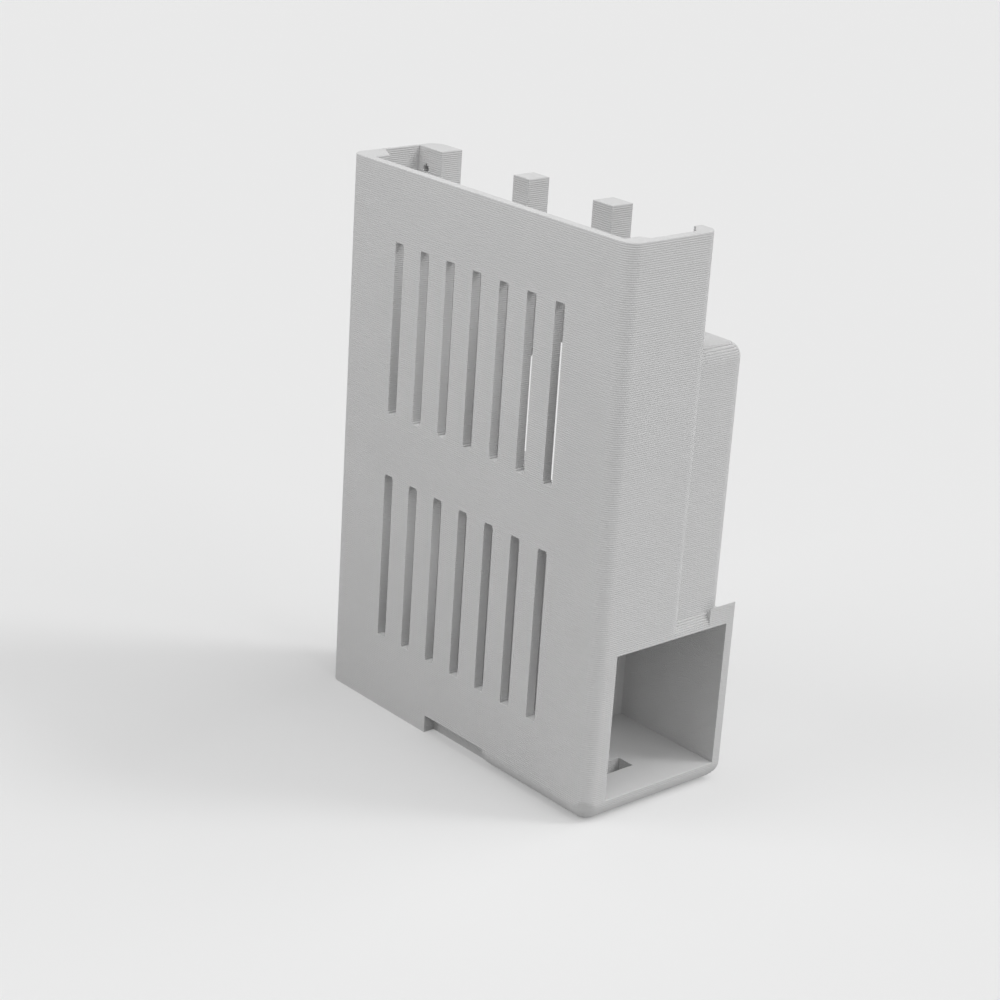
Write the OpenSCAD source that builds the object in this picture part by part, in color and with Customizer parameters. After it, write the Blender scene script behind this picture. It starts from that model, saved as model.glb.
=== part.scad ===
// Upright case for a credit-card sized single-board computer, printed in one piece.
// The front (slotted) wall faces -Y, the wire exit faces +X, the board drops in from the open top.
// Origin: bottom centre of the bounding box.

/* [Case body] */
// Overall width, left face to right face
case_w = 62; // [60:0.5:72]
// Overall height
case_h = 87.2; // [84:0.1:100]
// Depth of the board bay, front face to back face
case_d = 17; // [16:0.5:22]
// Thickness of the walls
wall_t = 1.6; // [1.2:0.1:2]
// Thickness of the floor
floor_t = 3.2; // [3:0.1:5]
// Radius of the rounded upright edges
edge_r = 2.3; // [2:0.1:4]

/* [Vent slots] */
// Slots in each of the two rows
slot_count = 7; // [3:1:8]
// Width of a slot
slot_w = 1.9; // [1.2:0.1:3]
// Distance between neighbouring slots
slot_pitch = 6; // [4:0.1:7]
// Length of a slot
slot_len = 27; // [12:0.5:30]
// Radius of a slot's corners
slot_r = 0.5; // [0.2:0.1:0.5]
// Height of the lower end of the lower row
slot_z = 12.1; // [8:0.1:16]
// Solid band between the two rows
slot_gap = 10; // [4:0.5:14]

/* [Port comb] */
// Height of the posts at the open top
comb_h = 17.3; // [10:0.1:22]
// Depth of a post
post_d = 4; // [2.5:0.1:5]
// Width of the right lip, measured from the right face
right_lip_w = 3.8; // [2.5:0.1:5]
// Thickness of the slanted corner inside the right lip
lip_fillet = 1.8; // [1:0.1:3]
// Gap for the network port
net_gap = 16.7; // [15:0.1:18]
// Width of the post beside the network gap
post_1_w = 3.6; // [2:0.1:5]
// Gap for each pair of serial ports
serial_gap = 13.8; // [12:0.1:15]
// Width of the post between the serial ports
post_2_w = 4.2; // [2:0.1:5]
// Diameter of the small pit in the front of the left post
pit_d = 1.2; // [0.6:0.1:2]
// Depth of the pit
pit_depth = 1.5; // [0.5:0.1:2]
// Distance from the top to the pit's centre
pit_drop = 3.3; // [2:0.1:6]
// Distance from the left face to the pit's centre
pit_inset = 2.35; // [1.5:0.05:3]

/* [Board rails] */
// Thickness of the left wall behind the left rail
skin_t = 0.5; // [0.4:0.1:1]
// Reach of the left rail past the inside of the left wall
left_rail_w = 2.7; // [1.5:0.1:4]
// Reach of the right rail past the inside of the right wall
right_rail_w = 1.4; // [1:0.1:3]
// Distance from the front face to the board's seat on the rails
seat_y = 4.3; // [3:0.1:6]
// Depth of the slanted guide behind the left seat
guide_y = 2; // [1:0.1:3]
// Depth of the slanted guide behind the right seat
right_guide_y = 0.7; // [0.3:0.1:2]

/* [Card notch] */
// Width of the memory card notch in the front bottom edge
card_w = 13.9; // [11:0.1:16]
// Height of the notch
card_h = 2.9; // [1.5:0.1:3]
// Depth of the notch from the front face
card_d = 2; // [1:0.1:4]

/* [Wire box] */
// Width of the box at the lower right
box_w = 23.3; // [18:0.1:28]
// Height of the box
box_h = 29.4; // [24:0.1:36]
// Depth of the box behind the back face
box_d = 10.8; // [8:0.1:16]
// Radius of the box's lower edges and of its upper right edge
box_r = 3; // [2:0.1:4]
// Thickness of the box's left wall
box_side_t = 3; // [1.5:0.1:4]
// Thickness of the box's roof
box_roof_t = 3; // [2:0.1:4]
// Thickness of the back wall of the box and of the channel
back_t = 1.5; // [1.2:0.1:2.5]
// Distance from the front face to the near edge of the exit
exit_y = 4.1; // [3.5:0.1:8]
// Radius of the box's top back edge
box_back_r = 5.2; // [4:0.1:6]
// Thickness of the bevelled lip at the exit's upper back corner
lip_t = 1.3; // [0.8:0.1:2]
// Drop of the lip's inward bevel
lip_bevel = 1.2; // [0.4:0.1:2]
// Width of the cable tie slot in the box floor
tie_w = 3; // [2:0.1:5]
// Length of the cable tie slot
tie_len = 10; // [6:0.5:11]
// Distance from the right face to the tie slot
tie_inset = 6.2; // [4:0.1:9]

/* [Wiring channel] */
// Width of the channel over the pin header
channel_w = 11.4; // [8:0.1:14]
// Depth of the channel behind the back face
channel_d = 8.9; // [7:0.1:14]
// Distance from the open top down to the channel's top
channel_drop = 17.6; // [16:0.1:37]
// Setback of the channel from the right face
channel_inset = 1; // [0.5:0.1:5]

/* [Back vent] */
// Diameter of the round vent in the back wall
vent_d = 24.8; // [12:0.1:26]
// Solid wall between the vent and the wiring channel
vent_gap = 2.3; // [1:0.1:8]
// Distance from the foot of the port gaps down to the vent's centre
vent_drop = 18.3; // [15:0.1:20]

/* [Side connectors] */
// Height of the power socket's centre above the board's lower end
power_z = 10.6; // [8:0.1:14]
// Length of the power cut-out
power_len = 9.5; // [7:0.1:12]
// Depth of the power cut-out
power_d = 3.6; // [2.5:0.1:5]
// Height of the display socket's centre above the board's lower end
display_z = 32; // [26:0.1:36]
// Length of the display cut-out
display_len = 16; // [12:0.1:18]
// Depth of the display cut-out
display_d = 4.4; // [4:0.1:6.4]
// Height of the audio socket's centre above the board's lower end
audio_z = 53.5; // [48:0.1:58]
// Diameter of the audio cut-out
audio_d = 4.4; // [4:0.1:6.4]

/* [Hidden] */
$fn = 64;
// Overshoot of a cutter past the face that it opens
cut = 1;
body_colour = [0.74, 0.74, 0.74];

left_x = -case_w / 2;
right_x = case_w / 2;
inner_right = right_x - wall_t;
inner_left = left_x + wall_t;
back_inner = case_d - wall_t;
box_back = case_d + box_d;
channel_back = case_d + channel_d;
total_d = max(box_back, channel_back);

comb_z = case_h - comb_h;
post_y = case_d - post_d;
post_2_x = right_x - right_lip_w - serial_gap - post_2_w;
post_1_x = post_2_x - serial_gap - post_1_w;
net_x = post_1_x - net_gap;
corbel_h = post_d - wall_t;
gap_starts = [net_x, post_1_x + post_1_w, post_2_x + post_2_w];
gap_widths = [net_gap, serial_gap, serial_gap];

skin_x = left_x + skin_t;
left_rail_x = inner_left + left_rail_w;
right_rail_x = inner_right - right_rail_w;
guide_end = seat_y + guide_y;

box_x = right_x - box_w;
box_in_x = box_x + box_side_t;
exit_h = box_h - box_roof_t - floor_t;
box_in_back = box_back - back_t;
lip_y = box_back - box_back_r;
lip_foot = box_h - box_back_r - cut;

channel_x = right_x - channel_inset - channel_w;
channel_h = case_h - channel_drop;
channel_in_back = channel_back - back_t;
vent_x = channel_x - vent_gap - vent_d / 2;
vent_z = comb_z - vent_drop;
// Height at which the outer forms of the box, the bay and the channel run into one another
seam_z = box_h / 2;

// Flat rectangle from the origin, with one radius per corner:
// near left, near right, far right, far left.
module soft_rect(size, radii) {
    corners = [[0, 0], [size.x, 0], [size.x, size.y], [0, size.y]];
    inward = [[1, 1], [-1, 1], [-1, -1], [1, -1]];
    difference() {
        square(size);
        for (i = [0:3])
            if (radii[i] > 0)
                translate(corners[i])
                    mirror([inward[i].x < 0 ? 1 : 0, 0])
                        mirror([0, inward[i].y < 0 ? 1 : 0])
                            corner_waste(radii[i]);
    }
}

// What a rounding takes off a square corner at the origin
module corner_waste(r) {
    difference() {
        translate([-cut, -cut])
            square(r + cut);
        translate([r, r])
            circle(r);
    }
}

// Block from the origin whose edges are rounded in plan, from the front and from the side.
// The three outlines are extruded across one another, so every face stays a plane or a cylinder.
module soft_block(size, plan, front, side) {
    intersection() {
        linear_extrude(size.z)
            soft_rect([size.x, size.y], plan);
        translate([0, size.y, 0])
            rotate([90, 0, 0])
                linear_extrude(size.y)
                    soft_rect([size.x, size.z], front);
        rotate([90, 0, 90])
            linear_extrude(size.x)
                soft_rect([size.y, size.z], side);
    }
}

// Board bay from outside, without the corner that the wire box takes over
module bay_outside() {
    difference() {
        translate([left_x, 0, 0])
            linear_extrude(case_h)
                soft_rect([case_w, case_d], [edge_r, edge_r, edge_r, edge_r]);
        translate([box_x, -cut, -cut])
            cube([box_w + cut, case_d + 2 * cut, seam_z + cut]);
    }
}

// Wire box from outside: rounded below, over the right edge and down its back
module box_outside() {
    translate([box_x, 0, 0])
        soft_block(
            [box_w, box_back, box_h],
            plan = [0, edge_r, 0, 0],
            front = [0, box_r, box_r, 0],
            side = [box_r, box_r, box_back_r, 0]
        );
}

// Bevelled lip that stands at the upper back corner of the wire exit
module exit_lip() {
    lip_top = box_h - lip_foot;
    translate([right_x, lip_y, lip_foot])
        rotate([90, 0, 180])
            linear_extrude(box_back_r)
                polygon([[0, 0], [lip_t, 0], [lip_t, lip_top - lip_bevel], [0, lip_top]]);
}

// Channel over the pin header from outside, rooted in the wire box
module channel_outside() {
    translate([channel_x, back_inner, seam_z])
        soft_block(
            [channel_w, channel_d + wall_t, channel_h - seam_z],
            plan = [0, 0, edge_r, edge_r],
            front = [0, 0, edge_r, edge_r],
            side = [0, 0, edge_r, 0]
        );
}

// Plan of the board bay: a slanted guide rail at each side, a thin skin behind the left one
module bay_plan() {
    polygon([
        [left_rail_x, wall_t],
        [right_rail_x, wall_t],
        [right_rail_x, seat_y],
        [inner_right, seat_y + right_guide_y],
        [inner_right, back_inner - lip_fillet],
        [inner_right - lip_fillet, back_inner],
        [inner_left, back_inner],
        [inner_left, post_y],
        [skin_x, post_y],
        [skin_x, guide_end],
        [left_rail_x, seat_y]
    ]);
}

// Space inside the case: board bay, wire box and channel run into one another
module inside() {
    translate([0, 0, floor_t])
        linear_extrude(case_h)
            bay_plan();
    translate([box_in_x, exit_y, floor_t])
        cube([box_w, box_in_back - exit_y, exit_h]);
    translate([channel_x + back_t, guide_end, floor_t])
        cube([channel_w - 2 * back_t, channel_in_back - guide_end, channel_h - back_t - floor_t]);
}

// Post of the comb, corbelled out of the back wall
module post(x, w) {
    root = wall_t / 2;
    translate([x, 0, comb_z])
        rotate([90, 0, 90])
            linear_extrude(w)
                polygon([
                    [back_inner + root, -corbel_h - root],
                    [back_inner + root, comb_h],
                    [post_y, comb_h],
                    [post_y, 0]
                ]);
}

module posts() {
    post(skin_x, net_x - skin_x);
    post(post_1_x, post_1_w);
    post(post_2_x, post_2_w);
}

// Gaps of the comb, where the ports pass the back wall
module port_gaps() {
    for (i = [0:len(gap_starts) - 1])
        translate([gap_starts[i], post_y - cut, comb_z])
            cube([gap_widths[i], post_d + 2 * cut, comb_h + cut]);
}

// One upright slot through the front wall, flat at both ends
module slot() {
    rotate([90, 0, 0])
        translate([-slot_w / 2, 0, -wall_t - cut])
            linear_extrude(wall_t + 2 * cut)
                soft_rect([slot_w, slot_len], [slot_r, slot_r, slot_r, slot_r]);
}

module vent_slots() {
    for (row = [0:1])
        for (i = [0:slot_count - 1])
            translate([
                (i - (slot_count - 1) / 2) * slot_pitch,
                0,
                slot_z + row * (slot_len + slot_gap)
            ])
                slot();
}

// Notch at the front bottom edge, up to the wire box
module card_notch() {
    translate([box_x - card_w, -cut, -cut])
        cube([card_w, card_d + cut, card_h + cut]);
}

module tie_slot() {
    translate([right_x - tie_inset - tie_w, back_inner - tie_len, -cut])
        cube([tie_w, tie_len, floor_t + 2 * cut]);
}

module back_vent() {
    translate([vent_x, back_inner - cut, vent_z])
        rotate([-90, 0, 0])
            cylinder(h = wall_t + 2 * cut, d = vent_d);
}

// Cut-outs in the left skin for the board's side sockets
module side_sockets() {
    socket_x = left_x - cut;
    depth = wall_t + 2 * cut;
    translate([socket_x, guide_end, floor_t + power_z - power_len / 2])
        cube([depth, power_d, power_len]);
    translate([socket_x, guide_end, floor_t + display_z - display_len / 2])
        cube([depth, display_d, display_len]);
    translate([socket_x, guide_end + audio_d / 2, floor_t + audio_z])
        rotate([0, 90, 0])
            cylinder(h = depth, d = audio_d);
}

// Small pit in the front of the left post
module post_pit() {
    translate([left_x + pit_inset, post_y - cut, case_h - pit_drop])
        rotate([-90, 0, 0])
            cylinder(h = pit_depth + cut, d = pit_d);
}

module case_body() {
    color(body_colour)
        translate([0, -total_d / 2, 0])
            difference() {
                union() {
                    difference() {
                        union() {
                            bay_outside();
                            box_outside();
                            exit_lip();
                            channel_outside();
                        }
                        inside();
                    }
                    posts();
                }
                port_gaps();
                vent_slots();
                card_notch();
                tie_slot();
                back_vent();
                side_sockets();
                post_pit();
            }
}

case_body();
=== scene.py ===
"""Looks of an upright single-board computer case, printed layer by layer in pale grey plastic.

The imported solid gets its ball-round corners and is cut into level print layers, which turns its
slopes into fine steps. Every layer bulges like a laid bead. The case stands on a plain pale
floor in soft light, seen from the photograph's angle.
"""

import itertools
import logging
import math
from dataclasses import dataclass, field
from enum import Enum
from typing import Any, Iterable

import bmesh
import bpy
import numpy as np
from mathutils import Euler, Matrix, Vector


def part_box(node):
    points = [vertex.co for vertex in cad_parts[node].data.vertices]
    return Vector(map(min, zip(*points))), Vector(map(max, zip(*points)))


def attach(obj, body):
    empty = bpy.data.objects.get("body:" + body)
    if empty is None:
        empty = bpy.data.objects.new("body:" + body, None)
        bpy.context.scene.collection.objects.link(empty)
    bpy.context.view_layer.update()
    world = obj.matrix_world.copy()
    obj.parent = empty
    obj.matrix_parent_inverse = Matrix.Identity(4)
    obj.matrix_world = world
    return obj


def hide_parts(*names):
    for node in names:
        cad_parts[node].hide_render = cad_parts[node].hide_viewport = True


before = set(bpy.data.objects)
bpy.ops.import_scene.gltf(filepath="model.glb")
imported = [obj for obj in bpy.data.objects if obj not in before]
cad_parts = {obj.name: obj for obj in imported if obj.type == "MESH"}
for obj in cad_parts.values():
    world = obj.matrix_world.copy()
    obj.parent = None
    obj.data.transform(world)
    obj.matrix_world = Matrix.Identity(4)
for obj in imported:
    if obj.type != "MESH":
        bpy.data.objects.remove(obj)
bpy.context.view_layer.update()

LOG = logging.getLogger("printed_case")
MM = 0.001
# A point this near to a cutting plane, in metres, lies on it.
ON_CUT = 0.0001 * MM
# Attribute that keeps the way out of the walls on each point.
OUTWARD = "outward"


class BeadInput(Enum):
    """Named inputs of the node group that beads the walls."""

    PITCH = "Layer pitch"
    GROOVE = "Groove depth"
    WANDER = "Layer wander"
    SEED = "Seed"
    PLASTIC = "Plastic"


def opaque_grey(level: float) -> tuple[float, float, float, float]:
    """Opaque colour of a linear grey level."""
    return (level, level, level, 1.0)


def direction(around: float, up: float) -> Vector:
    """Unit vector at an angle from +X towards +Y and an angle above level, in radians."""
    level = math.cos(up)
    return Vector((level * math.cos(around), level * math.sin(around), math.sin(up)))


def facing(way: Vector) -> Euler:
    """Turn of a lamp that shines along a direction."""
    return way.to_track_quat("-Z", "Y").to_euler()


def put_in_scene(name: str, data: bpy.types.ID) -> bpy.types.Object:
    """Put a new object into the scene, at the origin.

    Args:
        name: Name of the object.
        data: Mesh, light or camera that it shows.

    Returns:
        The new object.
    """
    obj = bpy.data.objects.new(name, data)
    bpy.context.scene.collection.objects.link(obj)
    return obj


@dataclass
class NodeChain:
    """Short way to add and link the nodes of one tree.

    Attributes:
        tree: Tree that the nodes go into.
    """

    tree: bpy.types.NodeTree

    def add(
        self, kind: str, feeds: dict[int | str, Any] | None = None, **settings: Any
    ) -> bpy.types.Node:
        """Add one node.

        Args:
            kind: Type name of the node.
            feeds: Socket or plain value for each input that isn't left as it is.
            **settings: Properties of the node itself.

        Returns:
            The new node.
        """
        node = self.tree.nodes.new(kind)
        for name, value in settings.items():
            setattr(node, name, value)
        for key, value in (feeds or {}).items():
            if isinstance(value, bpy.types.NodeSocket):
                self.tree.links.new(value, node.inputs[key])
            else:
                node.inputs[key].default_value = value
        return node

    def math(self, operation: str, *values: Any) -> bpy.types.NodeSocket:
        """Add a math node.

        Args:
            operation: Name of the operation.
            *values: Sockets or numbers that it works on.

        Returns:
            The socket of the result.
        """
        return self.add("ShaderNodeMath", dict(enumerate(values)), operation=operation).outputs[0]


@dataclass(frozen=True)
class PrintedPlastic:
    """Pale grey plastic of the print.

    Attributes:
        name: Name of the material.
        grey: Linear grey of the plastic.
        mottle: Share by which the grey varies from place to place.
        mottle_size: Size of the mottle in millimetres.
        mottle_detail: Finer sizes that are mixed into the mottle.
        roughness: Roughness of the bare plastic.
        specular: Specular level of the plastic.
        grain: Depth of the fine grain in millimetres.
        grain_size: Size of the grain in millimetres.
        grain_detail: Finer sizes that are mixed into the grain.
    """

    name: str = "printed_plastic"
    grey: float = 0.64
    mottle: float = 0.03
    mottle_size: float = 9.0
    mottle_detail: float = 2.0
    roughness: float = 0.55
    specular: float = 0.35
    grain: float = 0.004
    grain_size: float = 0.12
    grain_detail: float = 1.0

    def material(self) -> bpy.types.Material:
        """Make the node material.

        Returns:
            The finished material.
        """
        mat = bpy.data.materials.new(self.name)
        mat.use_nodes = True
        chain = NodeChain(mat.node_tree)
        shader = mat.node_tree.nodes["Principled BSDF"]
        shader.inputs["Roughness"].default_value = self.roughness
        shader.inputs["Specular IOR Level"].default_value = self.specular
        cloud = self._noise(chain, self.mottle_size, self.mottle_detail)
        low, high = (self.grey * (1.0 + sign * self.mottle) for sign in (-1.0, 1.0))
        tone = chain.add("ShaderNodeMapRange", {"Value": cloud, "To Min": low, "To Max": high})
        mat.node_tree.links.new(tone.outputs["Result"], shader.inputs["Base Color"])
        grit = self._noise(chain, self.grain_size, self.grain_detail)
        bump = chain.add(
            "ShaderNodeBump", {"Height": grit, "Distance": self.grain * MM, "Strength": 1.0}
        )
        mat.node_tree.links.new(bump.outputs["Normal"], shader.inputs["Normal"])
        return mat

    @staticmethod
    def _noise(chain: NodeChain, size: float, detail: float) -> bpy.types.NodeSocket:
        """Add a noise that stays with the piece.

        Args:
            chain: Tree of the material.
            size: Size of the noise in millimetres.
            detail: Finer sizes that are mixed in.

        Returns:
            The socket of the noise.
        """
        spot = chain.add("ShaderNodeTexCoord").outputs["Object"]
        feeds = {"Vector": spot, "Scale": 1.0 / (size * MM), "Detail": detail}
        return chain.add("ShaderNodeTexNoise", feeds).outputs["Fac"]


@dataclass(frozen=True)
class PaleCard:
    """Matt card of the floor.

    Attributes:
        name: Name of the material.
        seen: Linear grey that the camera and mirrored rays see.
        glow: Share of that grey that no shadow reaches.
        bounced: Linear grey that lights the case from below.
    """

    name: str = "pale_card"
    seen: float = 0.855
    glow: float = 0.3
    bounced: float = 0.6

    def material(self) -> bpy.types.Material:
        """Make the node material.

        Returns:
            The finished material.
        """
        mat = bpy.data.materials.new(self.name)
        mat.use_nodes = True
        mat.node_tree.nodes.clear()
        chain = NodeChain(mat.node_tree)
        lit, shine = self.seen * (1.0 - self.glow), self.seen * self.glow
        card = chain.add("ShaderNodeBsdfDiffuse", {"Color": opaque_grey(lit)})
        glow = chain.add("ShaderNodeEmission", {"Color": opaque_grey(shine)})
        seen = chain.add("ShaderNodeAddShader", {0: card.outputs[0], 1: glow.outputs[0]})
        bounced = chain.add("ShaderNodeBsdfDiffuse", {"Color": opaque_grey(self.bounced)})
        path = chain.add("ShaderNodeLightPath").outputs
        mirrored = chain.math("MAXIMUM", path["Is Glossy Ray"], path["Is Transmission Ray"])
        looked_at = chain.math("MAXIMUM", path["Is Camera Ray"], mirrored)
        mix = chain.add(
            "ShaderNodeMixShader", {0: looked_at, 1: bounced.outputs[0], 2: seen.outputs[0]}
        )
        chain.add("ShaderNodeOutputMaterial", {"Surface": mix.outputs[0]})
        return mat


@dataclass(frozen=True)
class BallCorner:
    """Corner that is round like a ball, where three rounded edges of a block meet.

    Attributes:
        name: What the corner is called.
        side: Corner of the case's box that it is nearest to, as a sign for each axis.
        radius: Radius of the ball in millimetres.
        inset: Distance of the block's square corner from the box's corner in millimetres.
        facets: Flats round a quarter of the ball.
        reach: Size of the part of the block that is cut, in radii.
    """

    name: str
    side: tuple[int, int, int]
    radius: float
    inset: tuple[float, float, float] = (0.0, 0.0, 0.0)
    facets: int = 6
    reach: float = 1.4

    def cut(self, form: bmesh.types.BMesh, low: Iterable[float], high: Iterable[float]) -> None:
        """Cut the corner with the planes that touch the ball.

        Args:
            form: Closed mesh of the case.
            low: Lowest corner of the case's box in metres.
            high: Highest corner of the case's box in metres.
        """
        side, radius = Vector(self.side), self.radius * MM
        ends = zip(self.side, low, high)
        tip = Vector([top if sign > 0 else bottom for sign, bottom, top in ends])
        tip -= side * Vector(self.inset) * MM
        self._mark_off(form, tip)
        turns = [math.radians(90.0 * step / self.facets) for step in range(1, self.facets)]
        for around, up in itertools.product(turns, turns):
            out = side * direction(around, up)
            bmesh.ops.bisect_plane(
                form,
                geom=self._marked(form, tip),
                dist=ON_CUT,
                plane_co=tip - side * radius + out * radius,
                plane_no=out,
                clear_outer=True,
            )
            self._close(form, out)

    @staticmethod
    def _close(form: bmesh.types.BMesh, out: Vector) -> None:
        """Close the hole that a cut leaves.

        Args:
            form: Mesh of the case, open at the cut.
            out: Way that the new face looks.
        """
        rim = [edge for edge in form.edges if edge.is_boundary]
        for face in bmesh.ops.holes_fill(form, edges=rim)["faces"]:
            face.normal_update()
            if face.normal.dot(out) < 0.0:
                face.normal_flip()

    def _mark_off(self, form: bmesh.types.BMesh, tip: Vector) -> None:
        """Cut the faces where the part round the corner ends.

        Args:
            form: Closed mesh of the case.
            tip: Place of the square corner.
        """
        for axis, sign in enumerate(self.side):
            way = Vector((0.0, 0.0, 0.0))
            way[axis] = sign
            bmesh.ops.bisect_plane(
                form,
                geom=[*form.verts, *form.edges, *form.faces],
                dist=ON_CUT,
                plane_co=tip - way * self.radius * self.reach * MM,
                plane_no=way,
            )

    def _marked(self, form: bmesh.types.BMesh, tip: Vector) -> list[Any]:
        """Find what lies in the part round the corner.

        Args:
            form: Closed mesh of the case, cut where that part ends.
            tip: Place of the square corner.

        Returns:
            The faces of the part with their edges and points, always in the same order.
        """
        side, reach = Vector(self.side), self.radius * self.reach * MM + ON_CUT
        part: dict[Any, None] = {}
        for face in form.faces:
            if all(max(side * (tip - vert.co)) < reach for vert in face.verts):
                part.update(dict.fromkeys([face, *face.edges, *face.verts]))
        return list(part)


@dataclass(frozen=True)
class PrintLayers:
    """Level layers that a solid is printed in.

    Attributes:
        height: Height of the print in metres.
        count: Number of layers.
        slice_share: Height of the slice that stands for a layer, as a share of the layer.
        weld: Distance in metres at which points are joined.
        sliver: Width in metres under which a face joins its neighbour.
        flat: Angle in degrees up to which neighbouring faces are one plane.
        crease: Angle in degrees from which an upright edge is sharp.
        upright: Largest upward part of a wall's normal.
        blunt: Share of the walls at a point under which they count as one plane.
    """

    height: float
    count: int = 272
    slice_share: float = 0.003
    weld: float = 0.012 * MM
    sliver: float = 0.0012 * MM
    flat: float = 0.3
    crease: float = 30.0
    upright: float = 0.5
    blunt: float = 0.02

    @property
    def pitch(self) -> float:
        """Height of one layer in metres."""
        return self.height / self.count

    @property
    def half(self) -> float:
        """Height of half a layer in metres, from its foot to its crest."""
        return self.pitch / 2.0

    def merge(self, form: bmesh.types.BMesh) -> None:
        """Join the close points and the faces that lie in one plane.

        Args:
            form: Mesh of the solid.
        """
        bmesh.ops.remove_doubles(form, verts=form.verts[:], dist=self.weld)
        bmesh.ops.dissolve_limit(
            form, angle_limit=math.radians(self.flat), verts=form.verts[:], edges=form.edges[:]
        )

    def build(self, form: bmesh.types.BMesh, name: str) -> bpy.types.Mesh:
        """Turn a merged solid into its stack of layers.

        Args:
            form: Mesh of the solid, which is used up.
            name: Name of the mesh that is made.

        Returns:
            The layered mesh, with the way out of the walls kept on its points.
        """
        middles = [(layer + 0.5) * self.pitch for layer in range(self.count)]
        thin = self.slice_share * self.half
        levels = [middle + side for middle in middles for side in (-thin, thin)]
        self._cut(form, form.faces[:], levels)
        self._level(form)
        self._join(form)
        self._ridge(form)
        self._shade(form)
        mesh = bpy.data.meshes.new(name)
        form.to_mesh(mesh)
        form.free()
        self._mark_outward(mesh)
        return mesh

    def _cut(
        self, form: bmesh.types.BMesh, faces: list[bmesh.types.BMFace], levels: list[float]
    ) -> None:
        """Cut faces at level heights, by halves, so that each cut meets few faces.

        Args:
            form: Mesh that the faces are in.
            faces: Faces to cut.
            levels: Heights of the cuts, lowest first.
        """
        if not levels or not faces:
            return
        middle = len(levels) // 2
        level = levels[middle]
        below: list[bmesh.types.BMFace] = []
        above: list[bmesh.types.BMFace] = []
        crossed: dict[Any, None] = {}
        for face in faces:
            heights = [vert.co.z for vert in face.verts]
            if max(heights) <= level:
                below.append(face)
            elif min(heights) >= level:
                above.append(face)
            else:
                crossed.update(dict.fromkeys([face, *face.edges, *face.verts]))
        made = bmesh.ops.bisect_plane(
            form,
            geom=list(crossed),
            dist=0.0,
            plane_co=(0.0, 0.0, level),
            plane_no=(0.0, 0.0, 1.0),
        )
        for part in made["geom"]:
            if isinstance(part, bmesh.types.BMFace):
                side = below if part.calc_center_bounds().z < level else above
                side.append(part)
        self._cut(form, below, levels[:middle])
        self._cut(form, above, levels[middle + 1 :])

    def _level(self, form: bmesh.types.BMesh) -> None:
        """Draw every point to the nearest layer line, so that slopes become steps.

        Args:
            form: Mesh that is cut at its layers. Faces that lose their width join a neighbour.
        """
        for vert in form.verts:
            vert.co.z = round(vert.co.z / self.pitch) * self.pitch
        bmesh.ops.remove_doubles(form, verts=form.verts[:], dist=self.weld)
        seams: dict[bmesh.types.BMEdge, None] = {}
        for face in form.faces:
            longest = max(face.edges, key=lambda edge: edge.calc_length())
            if face.calc_area() < longest.calc_length() * self.sliver:
                seams[longest] = None
        bmesh.ops.dissolve_edges(form, edges=list(seams), use_verts=False, use_face_split=False)

    @staticmethod
    def _rise(edge: bmesh.types.BMEdge) -> float:
        """Height between the ends of an edge in metres."""
        first, last = edge.verts
        return abs(first.co.z - last.co.z)

    def _join(self, form: bmesh.types.BMesh) -> None:
        """Make each flat stretch of a layer's wall, and each flat step, one face.

        Args:
            form: Mesh that is drawn to its layer lines.
        """
        flat = math.radians(self.flat)
        seams = []
        for edge in form.edges:
            in_step = all(abs(face.normal.z) > self.upright for face in edge.link_faces)
            if in_step or self._rise(edge) > self.half:
                seams.append(edge)
        bmesh.ops.dissolve_limit(form, angle_limit=flat, verts=[], edges=seams)
        ends = [vert for vert in form.verts if len(vert.link_edges) == 2]
        straight = [vert for vert in ends if vert.calc_edge_angle() < flat]
        bmesh.ops.dissolve_verts(form, verts=straight)

    def _ridge(self, form: bmesh.types.BMesh) -> None:
        """Split the wall of each layer at its middle height, for the bead's crest.

        Args:
            form: Mesh whose walls are one face for each layer.
        """
        crests = set()
        for edge in form.edges[:]:
            if self._rise(edge) > self.half:
                crests.add(bmesh.utils.edge_split(edge, edge.verts[0], 0.5)[1])
        for face in form.faces[:]:
            ends = [vert for vert in face.verts if vert in crests]
            if len(ends) == 2:
                bmesh.utils.face_split(face, *ends)

    def _shade(self, form: bmesh.types.BMesh) -> None:
        """Shade smoothly round the walls, with a sharp line at every turn of the beads.

        Args:
            form: Mesh with its crests.
        """
        for face in form.faces:
            face.smooth = True
        for edge in form.edges:
            level = self._rise(edge) < self.half / 2.0
            bent = edge.calc_face_angle(math.pi) >= math.radians(self.crease)
            edge.smooth = not level and not bent

    def _mark_outward(self, mesh: bpy.types.Mesh) -> None:
        """Keep on each point the level step that takes all its walls outward by one unit.

        Args:
            mesh: Layered mesh, which gets the step as an attribute.
        """
        normals = np.empty(len(mesh.polygons) * 3, np.float32)
        mesh.polygons.foreach_get("normal", normals)
        normals = normals.reshape(-1, 3)
        sides = np.empty(len(mesh.polygons), np.int32)
        mesh.polygons.foreach_get("loop_total", sides)
        points = np.empty(len(mesh.loops), np.int32)
        mesh.loops.foreach_get("vertex_index", points)
        looks = np.repeat(normals, sides, axis=0)
        wall = np.abs(looks[:, 2]) < self.upright
        level = looks[wall, :2] / np.linalg.norm(looks[wall, :2], axis=1, keepdims=True)
        total = np.zeros((len(mesh.vertices), 2))
        spread = np.zeros((len(mesh.vertices), 2, 2))
        np.add.at(total, points[wall], level)
        np.add.at(spread, points[wall], level[:, :, None] * level[:, None, :])
        step = np.zeros((len(mesh.vertices), 3), np.float32)
        step[:, :2] = np.einsum("nij,nj->ni", np.linalg.pinv(spread, rcond=self.blunt), total)
        kept = mesh.attributes.new(OUTWARD, "FLOAT_VECTOR", "POINT")
        kept.data.foreach_set("vector", step.ravel())


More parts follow.
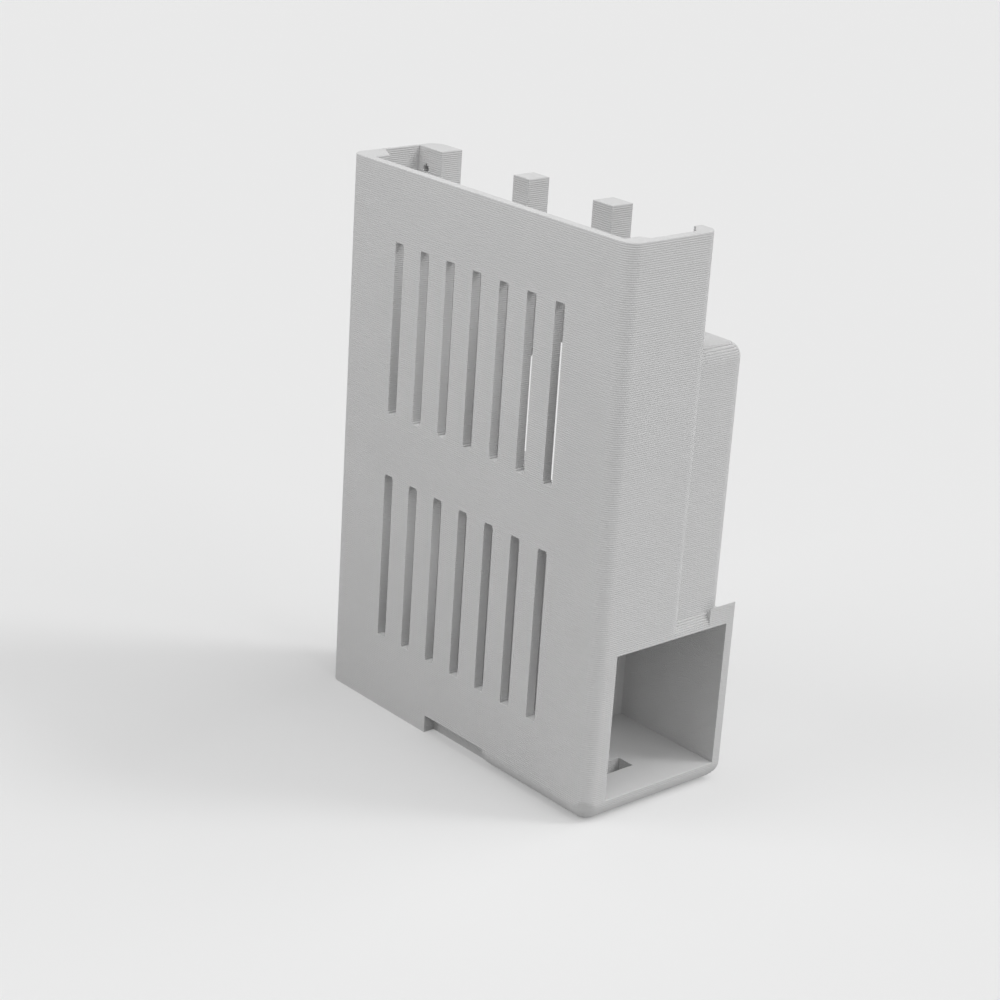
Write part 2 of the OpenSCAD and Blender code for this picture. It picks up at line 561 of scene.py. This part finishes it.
@dataclass(frozen=True)
class Beads:
    """Bulge of the laid beads, made by a node group.

    Attributes:
        groove: Depth of the groove between two layers in millimetres.
        wander: Most that a layer falls back in millimetres.
        line_half: Share of a layer within which a point is on a layer line.
        seed: Seed of the wander.
    """

    groove: float = 0.042
    wander: float = 0.01
    line_half: float = 0.25
    seed: int = 7

    def group(self) -> bpy.types.NodeTree:
        """Make the node group.

        Returns:
            The group, with its inputs named as in BeadInput.
        """
        tree = bpy.data.node_groups.new("print_beads", "GeometryNodeTree")
        kinds = {BeadInput.SEED: "NodeSocketInt", BeadInput.PLASTIC: "NodeSocketMaterial"}
        tree.interface.new_socket("Geometry", in_out="INPUT", socket_type="NodeSocketGeometry")
        for item in BeadInput:
            kind = kinds.get(item, "NodeSocketFloat")
            tree.interface.new_socket(item.value, in_out="INPUT", socket_type=kind)
        tree.interface.new_socket("Geometry", in_out="OUTPUT", socket_type="NodeSocketGeometry")
        self._wire(NodeChain(tree))
        return tree

    def _wire(self, chain: NodeChain) -> None:
        """Add the nodes that draw the layer lines inward and give the walls their plastic.

        Args:
            chain: Tree of the group, with its sockets.
        """
        given = chain.add("NodeGroupInput").outputs
        pitch, depth, wander, seed, plastic = (given[item.value] for item in BeadInput)
        spot = chain.add("GeometryNodeInputPosition").outputs[0]
        height = chain.add("ShaderNodeSeparateXYZ", {0: spot}).outputs["Z"]
        level = chain.math("DIVIDE", height, pitch)
        shifted = chain.math("FRACT", chain.math("ADD", level, self.line_half))
        groove = chain.math("LESS_THAN", shifted, 2.0 * self.line_half)
        layer = chain.math("ADD", chain.math("FLOOR", level), seed)
        chance = chain.add("ShaderNodeTexWhiteNoise", {"W": layer}, noise_dimensions="1D")
        loose = chain.math("MAXIMUM", chance.outputs["Value"], groove)
        inset = chain.math("MULTIPLY_ADD", groove, depth, chain.math("MULTIPLY", loose, wander))
        outward = chain.add(
            "GeometryNodeInputNamedAttribute", {"Name": OUTWARD}, data_type="FLOAT_VECTOR"
        ).outputs["Attribute"]
        inward = {0: outward, "Scale": chain.math("MULTIPLY", inset, -1.0)}
        step = chain.add("ShaderNodeVectorMath", inward, operation="SCALE").outputs["Vector"]
        moved = chain.add(
            "GeometryNodeSetPosition", {"Geometry": given["Geometry"], "Offset": step}
        )
        solid = chain.add(
            "GeometryNodeRealizeInstances", {"Geometry": moved.outputs["Geometry"]}
        )
        dressed = chain.add(
            "GeometryNodeSetMaterial",
            {"Geometry": solid.outputs["Geometry"], "Material": plastic},
        )
        chain.add("NodeGroupOutput", {"Geometry": dressed.outputs["Geometry"]})

    def apply(self, piece: bpy.types.Object, pitch: float, plastic: bpy.types.Material) -> None:
        """Bead the walls of a layered piece for good.

        Args:
            piece: Piece whose mesh has the way out of its walls on its points.
            pitch: Height of a layer in metres.
            plastic: Material of the print.
        """
        values = {
            BeadInput.PITCH.value: pitch,
            BeadInput.GROOVE.value: self.groove * MM,
            BeadInput.WANDER.value: self.wander * MM,
            BeadInput.SEED.value: self.seed,
            BeadInput.PLASTIC.value: plastic,
        }
        modifier = piece.modifiers.new("print_beads", "NODES")
        modifier.node_group = self.group()
        for socket in modifier.node_group.interface.items_tree:
            if socket.in_out == "INPUT" and socket.name in values:
                modifier[socket.identifier] = values[socket.name]
        drawn = piece.evaluated_get(bpy.context.evaluated_depsgraph_get())
        mesh = bpy.data.meshes.new_from_object(drawn)
        piece.modifiers.clear()
        piece.data = mesh
        mesh.attributes.remove(mesh.attributes[OUTWARD])


@dataclass
class PrintedCase:
    """The case itself, one print.

    Attributes:
        node: CAD node that it stands for.
        body: Body that it belongs to.
        plastic: Plastic of the print.
        beads: Bulge of its layers.
        box_round: Radius of the wire box's edges in millimetres.
        channel_round: Radius of the wiring channel's edges in millimetres.
        channel_right: Distance of the channel from the right of the case in millimetres.
        channel_left: Distance of the channel from the left of the case in millimetres.
        channel_back: Distance of the channel from the back of the case in millimetres.
        channel_top: Distance of the channel from the top of the case in millimetres.
        layers: Layers that the solid's height is divided into.
    """

    node: str = "case_body"
    body: str = "root"
    plastic: PrintedPlastic = field(default_factory=PrintedPlastic)
    beads: Beads = field(default_factory=Beads)
    box_round: float = 3.0
    channel_round: float = 2.3
    channel_right: float = 1.0
    channel_left: float = 49.6
    channel_back: float = 1.9
    channel_top: float = 17.6
    layers: PrintLayers = field(init=False)

    def __post_init__(self) -> None:
        """Divide the solid's height into layers."""
        low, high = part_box(self.node)
        self.layers = PrintLayers(height=high[2] - low[2])

    def corners(self) -> list[BallCorner]:
        """List the corners that are round like a ball.

        Returns:
            The wire box's lower front corner and the channel's two top corners.
        """
        right = (self.channel_right, self.channel_back, self.channel_top)
        left = (self.channel_left, self.channel_back, self.channel_top)
        return [
            BallCorner("wire box's lower front corner", (1, -1, -1), self.box_round),
            BallCorner("channel's right top corner", (1, 1, 1), self.channel_round, right),
            BallCorner("channel's left top corner", (-1, 1, 1), self.channel_round, left),
        ]

    def build(self) -> bpy.types.Object:
        """Print the solid in layers.

        Returns:
            The layered piece, still bare.
        """
        form = bmesh.new()
        form.from_mesh(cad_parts[self.node].data)
        self.layers.merge(form)
        for corner in self.corners():
            corner.cut(form, *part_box(self.node))
            LOG.info("rounded the %s", corner.name)
        self.layers.merge(form)
        piece = put_in_scene("printed_case", self.layers.build(form, "printed_case"))
        LOG.info("printed %s in %d layers", piece.name, self.layers.count)
        return piece

    def dress(self, piece: bpy.types.Object) -> None:
        """Bead and colour the piece and put it in the solid's place.

        Args:
            piece: The layered piece.
        """
        self.beads.apply(piece, self.layers.pitch, self.plastic.material())
        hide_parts(self.node)
        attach(piece, self.body)
        LOG.info("dressed %s, %d points", piece.name, len(piece.data.vertices))


@dataclass(frozen=True)
class FarLight:
    """Wide soft light from far away, even over the whole floor.

    Attributes:
        name: Name of the light.
        azimuth: Side that it comes from, in degrees from +X towards +Y.
        elevation: Height above the floor in degrees.
        spread: Apparent width in degrees.
        strength: Light that falls on a face turned to it, in watts per square metre.
    """

    name: str
    azimuth: float
    elevation: float
    spread: float
    strength: float

    def build(self) -> None:
        """Hang the light."""
        lamp = bpy.data.lights.new(self.name, "SUN")
        lamp.angle = math.radians(self.spread)
        lamp.energy = self.strength
        source = direction(math.radians(self.azimuth), math.radians(self.elevation))
        put_in_scene(self.name, lamp).rotation_euler = facing(-source)


@dataclass(frozen=True)
class NearLight:
    """Soft lamp close over the front, so that the walls grow darker downward.

    Attributes:
        name: Name of the lamp.
        place: Place of the lamp in metres.
        aim: Point that it faces in metres.
        size: Diameter in metres.
        power: Power in watts.
    """

    name: str = "near_front"
    place: tuple[float, float, float] = (0.011, -0.126, 0.267)
    aim: tuple[float, float, float] = (0.0, 0.0, 0.087)
    size: float = 0.2
    power: float = 0.162

    def build(self, piece: bpy.types.Object) -> None:
        """Hang the lamp.

        Args:
            piece: The only thing that the lamp lights, so that the floor stays even.
        """
        lamp = bpy.data.lights.new(self.name, "AREA")
        lamp.shape = "DISK"
        lamp.size = self.size
        lamp.energy = self.power
        obj = put_in_scene(self.name, lamp)
        obj.location = self.place
        obj.rotation_euler = facing(Vector(self.aim) - Vector(self.place))
        obj.visible_camera = False
        lit = bpy.data.collections.new(self.name)
        lit.objects.link(piece)
        obj.light_linking.receiver_collection = lit


@dataclass
class Studio:
    """Floor, light and camera.

    Attributes:
        card: Finish of the floor.
        floor_half: Half of the floor's edge in metres.
        lights: Far lights round the case.
        lamp: Near lamp over the front.
        sky: Strength of the even light from all round.
        eye: Place of the camera in metres.
        turn: Camera's turn about X, Y and Z in degrees.
        lens: Focal length in millimetres.
        sensor: Width of the sensor in millimetres.
        near_end: Nearest distance that the camera sees in metres.
    """

    card: PaleCard = field(default_factory=PaleCard)
    floor_half: float = 6.0
    lights: tuple[FarLight, ...] = (
        FarLight("high_back_right", azimuth=50.0, elevation=50.0, spread=12.0, strength=0.54),
        FarLight("low_back_right", azimuth=38.0, elevation=36.0, spread=26.0, strength=0.3),
        FarLight("back", azimuth=68.0, elevation=48.0, spread=40.0, strength=0.67),
        FarLight("right", azimuth=8.0, elevation=37.0, spread=34.0, strength=0.6),
        FarLight("front_left", azimuth=243.0, elevation=33.0, spread=42.0, strength=0.78),
        FarLight("front_right", azimuth=320.0, elevation=37.0, spread=55.0, strength=0.37),
        FarLight("top", azimuth=0.0, elevation=90.0, spread=40.0, strength=0.66),
    )
    lamp: NearLight = field(default_factory=NearLight)
    sky: float = 0.06
    eye: tuple[float, float, float] = (0.24377, -0.22354, 0.16133)
    turn: tuple[float, float, float] = (69.4963, -3.5285, 49.6537)
    lens: float = 83.06
    sensor: float = 36.0
    near_end: float = 0.01

    def build(self, piece: bpy.types.Object) -> None:
        """Set up the floor, the light and the camera.

        Args:
            piece: The case, which the near lamp lights.
        """
        self._floor()
        for light in self.lights:
            light.build()
        self.lamp.build(piece)
        self._sky()
        self._camera()
        LOG.info("set up the studio with %d far lights and a near lamp", len(self.lights))

    def _floor(self) -> None:
        """Lay the floor that the case stands on."""
        half = self.floor_half
        mesh = bpy.data.meshes.new("floor")
        mesh.from_pydata(
            [(-half, -half, 0.0), (half, -half, 0.0), (half, half, 0.0), (-half, half, 0.0)],
            [],
            [(0, 1, 2, 3)],
        )
        mesh.materials.append(self.card.material())
        put_in_scene("floor", mesh)

    def _sky(self) -> None:
        """Set the even light from all round."""
        world = bpy.data.worlds.new("even_light")
        world.use_nodes = True
        back = world.node_tree.nodes["Background"]
        back.inputs["Color"].default_value = opaque_grey(1.0)
        back.inputs["Strength"].default_value = self.sky
        bpy.context.scene.world = world

    def _camera(self) -> None:
        """Place the camera at the photograph's angle."""
        data = bpy.data.cameras.new("camera")
        data.sensor_fit = "HORIZONTAL"
        data.sensor_width = self.sensor
        data.lens = self.lens
        data.clip_start = self.near_end
        cam = put_in_scene("camera", data)
        cam.location = self.eye
        cam.rotation_euler = Euler([math.radians(angle) for angle in self.turn], "XYZ")
        bpy.context.scene.camera = cam


def main() -> None:
    """Build the case and the studio."""
    logging.basicConfig(level=logging.INFO, format="%(name)s: %(message)s")
    bpy.context.scene.view_settings.view_transform = "Standard"
    case = PrintedCase()
    piece = case.build()
    case.dress(piece)
    Studio().build(piece)


if __name__ == "__main__":
    main()
